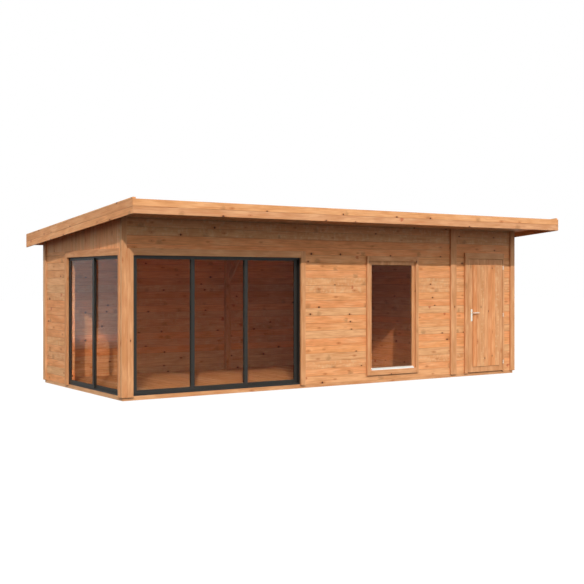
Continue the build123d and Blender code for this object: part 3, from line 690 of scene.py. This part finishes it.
def board_floor():
    """Floor boards from front to back."""
    low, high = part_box("floor_deck")
    floor = copy_of("floor_deck", "floor_boards")
    first = math.ceil(low.x / FLOOR_BOARD) * FLOOR_BOARD
    rows = int((high.x - first) / FLOOR_BOARD) + 1
    grow(floor, JOINTS, Count=rows, Start=(first, (low.y + high.y) / 2, high.z), Step=(FLOOR_BOARD, 0, 0),
         Faces=1, Bar=(BAR, high.y - low.y + OVERRUN, BAR), Roll=(0, EIGHTH, 0), Finish=floor_pine)
    settle(floor, "pod", "floor_timber", "floor_deck")


def roof_line(y):
    """Height of the verge's lower edge at depth y."""
    return VERGE_FOOT - ROOF_FALL * (y - cad_box[0].y)


def board_roof():
    """Soffit sheets side by side, and deck boards from end to end over the rafters."""
    for node in ("front_rear_soffits", "side_soffits"):
        low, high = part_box(node)
        soffit = copy_of(node, node + "_sheets")
        first = math.ceil(low.x / SOFFIT_SHEET) * SOFFIT_SHEET
        rows = int((high.x - first) / SOFFIT_SHEET) + 1
        grow(soffit, JOINTS, Count=rows, Start=(first, 0, roof_line(0) + SOFFIT_RECESS),
             Step=(SOFFIT_SHEET, 0, 0), Faces=1, Bar=(BAR, LENGTH, BAR), Roll=(0, EIGHTH, 0),
             Tilt=(TILT, 0, 0), Finish=soffit_pine)
        settle(soffit, "pod", "stained_softwood", node)
    low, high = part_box("roof_deck")
    deck = copy_of("roof_deck", "roof_deck_boards")
    first = low.y + BOARD
    grow(deck, JOINTS, Count=int((high.y - first) / BOARD), Start=(0, first, roof_line(first) + DECK_FOOT),
         Step=(0, BOARD, -BOARD * ROOF_FALL), Faces=1, Bar=(LENGTH + DECK_OVERRUN, BAR, BAR),
         Roll=(EIGHTH, 0, 0), Tilt=(TILT, 0, 0), Finish=sawn_pine)
    settle(deck, "pod", "roof_timber", "roof_deck")


def board_door():
    """Upright boards on both faces of the store door's panel."""
    low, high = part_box("store_door_panel")
    panel = copy_of("store_door_panel", "store_door_boards")
    grow(panel, JOINTS, Count=DOOR_BOARDS - 1, Start=(low.x + DOOR_BOARD, low.y, (low.z + high.z) / 2),
         Step=(DOOR_BOARD, 0, 0), Faces=2, Across=(0, high.y - low.y, 0),
         Bar=(BAR, BAR, high.z - low.z + OVERRUN), Roll=(0, 0, EIGHTH), Finish=panel_pine)
    settle(panel, "store_door", "stained_softwood", "store_door_panel")


# Timbers of the room, cover boards, and solids that keep their shape: finish and eased edges


def give(piece, material):
    """Makes a material the piece's only one."""
    piece.data.materials.clear()
    piece.data.materials.append(material)


def ease_edges(piece, width):
    """Rounds the arrises of a board or a bar."""
    piece.modifiers.new("weld", "WELD").merge_threshold = WELD
    flat = piece.modifiers.new("flat", "DECIMATE")
    flat.decimate_type = "DISSOLVE"
    flat.angle_limit = math.radians(FLAT_ANGLE)
    bevel = piece.modifiers.new("bevel", "BEVEL")
    bevel.width = width
    bevel.segments = EDGE_STEPS
    bevel.limit_method = "ANGLE"
    bevel.angle_limit = math.radians(EDGE_ANGLE)


def timber(name, outline, left, right, material):
    """Squared timber with an outline in Y and Z between two places along X."""
    shape = bmesh.new()
    ends = [[shape.verts.new((x, y, z)) for y, z in outline] for x in (left, right)]
    for end in ends:
        shape.faces.new(end)
    for i in range(len(outline)):
        shape.faces.new((ends[0][i - 1], ends[0][i], ends[1][i], ends[1][i - 1]))
    bmesh.ops.recalc_face_normals(shape, faces=shape.faces)
    mesh = bpy.data.meshes.new(name)
    shape.to_mesh(mesh)
    shape.free()
    piece = bpy.data.objects.new(name, mesh)
    bpy.context.scene.collection.objects.link(piece)
    give(piece, material)
    ease_edges(piece, TIMBER_EDGE)
    settle(piece, "pod", "stained_softwood")


def under_rafters(y):
    """Height of the rafters' lower side at depth y."""
    return roof_line(y) + WALL_RISE


def beam_foot(y):
    """Height of the roof beam's lower side at depth y."""
    return under_rafters(y) - BEAM


def frame_room():
    """Posts on the long walls, a beam under the rafters between them, and a knee brace at each end."""
    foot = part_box("floor_deck")[1].z
    right = POST_LEFT + POST
    front, back = front_high.y, back_low.y
    beam = [(front, beam_foot(front)), (front, under_rafters(front)), (back, under_rafters(back)),
            (back, beam_foot(back))]
    timber("roof_beam", beam, POST_LEFT, right, beam_pine)
    rise = BRACE_DEPTH * math.sqrt(2)
    for side, wall, way, brace_pine in (("front", front, 1, front_brace_pine),
                                        ("back", back, -1, back_brace_pine)):
        face = wall + way * POST
        post = [(wall, foot), (wall, beam_foot(wall)), (face, beam_foot(face)), (face, foot)]
        timber(side + "_room_post", post, POST_LEFT, right, upright_pine)
        tip = face + way * BRACE_RISE
        heel = beam_foot(tip) - BRACE_RISE
        brace = [(face, heel), (tip, beam_foot(tip)), (tip - way * rise, beam_foot(tip - way * rise)),
                 (face, heel + rise)]
        timber(side + "_knee_brace", brace, right - BRACE, right, brace_pine)


def trim_covers():
    """Cover boards over the panel joints on the front and on the back; a post stands inside instead."""
    covers = copy_of("cover_boards", "cover_board_pair")
    shape = bmesh.new()
    shape.from_mesh(covers.data)
    inner = [v for v in shape.verts if front_high.y < v.co.y < back_high.y - WALL / 2]
    bmesh.ops.delete(shape, geom=inner, context="VERTS")
    shape.to_mesh(covers.data)
    shape.free()
    give(covers, upright_pine)
    ease_edges(covers, BOARD_EDGE)
    settle(covers, "pod", "stained_softwood", "cover_boards")


def finish_solids():
    """Material of each solid that shows as it is, and the rounding of its edges where it has any."""
    finishes = [
        (upright_pine, BOARD_EDGE, ("corner_boards", "side_casings", "store_door_frame", "store_door_leaf",
                                    "window_frame")),
        (level_pine, BOARD_EDGE, ("base_bearers", "base_joists", "head_casings", "slider_sills",
                                  "verge_upstands", "rear_fascia")),
        (fascia_pine, BOARD_EDGE, ("front_fascia_upper",)),
        (lower_pine, BOARD_EDGE, ("front_fascia_lower",)),
        (verge_pine, BOARD_EDGE, ("verge_boards_lower", "verge_boards_upper")),
        (sawn_pine, BOARD_EDGE, ("rafters", "eaves_blocking")),
        (coated_aluminium, METAL_EDGE, ("front_slider_frame", "end_slider_frame", "fixed_sashes",
                                        "front_middle_sash", "front_right_sash", "end_sliding_sash")),
        (pane_glass, None, ("fixed_glass", "front_middle_glass", "front_right_glass", "end_sliding_glass")),
        (roof_rubber, None, ("roof_membrane",)),
        (satin_aluminium, None, ("window_drip_bar",)),
        (satin_steel, None, ("hinge_casing_halves", "hinge_leaf_halves", "handle_backplates", "door_lever")),
    ]
    for material, edge, names in finishes:
        for name in names:
            give(nodes[name], material)
            if edge:
                ease_edges(nodes[name], edge)


make_studio()
board_walls()
board_floor()
board_roof()
board_door()
frame_room()
trim_covers()
finish_solids()
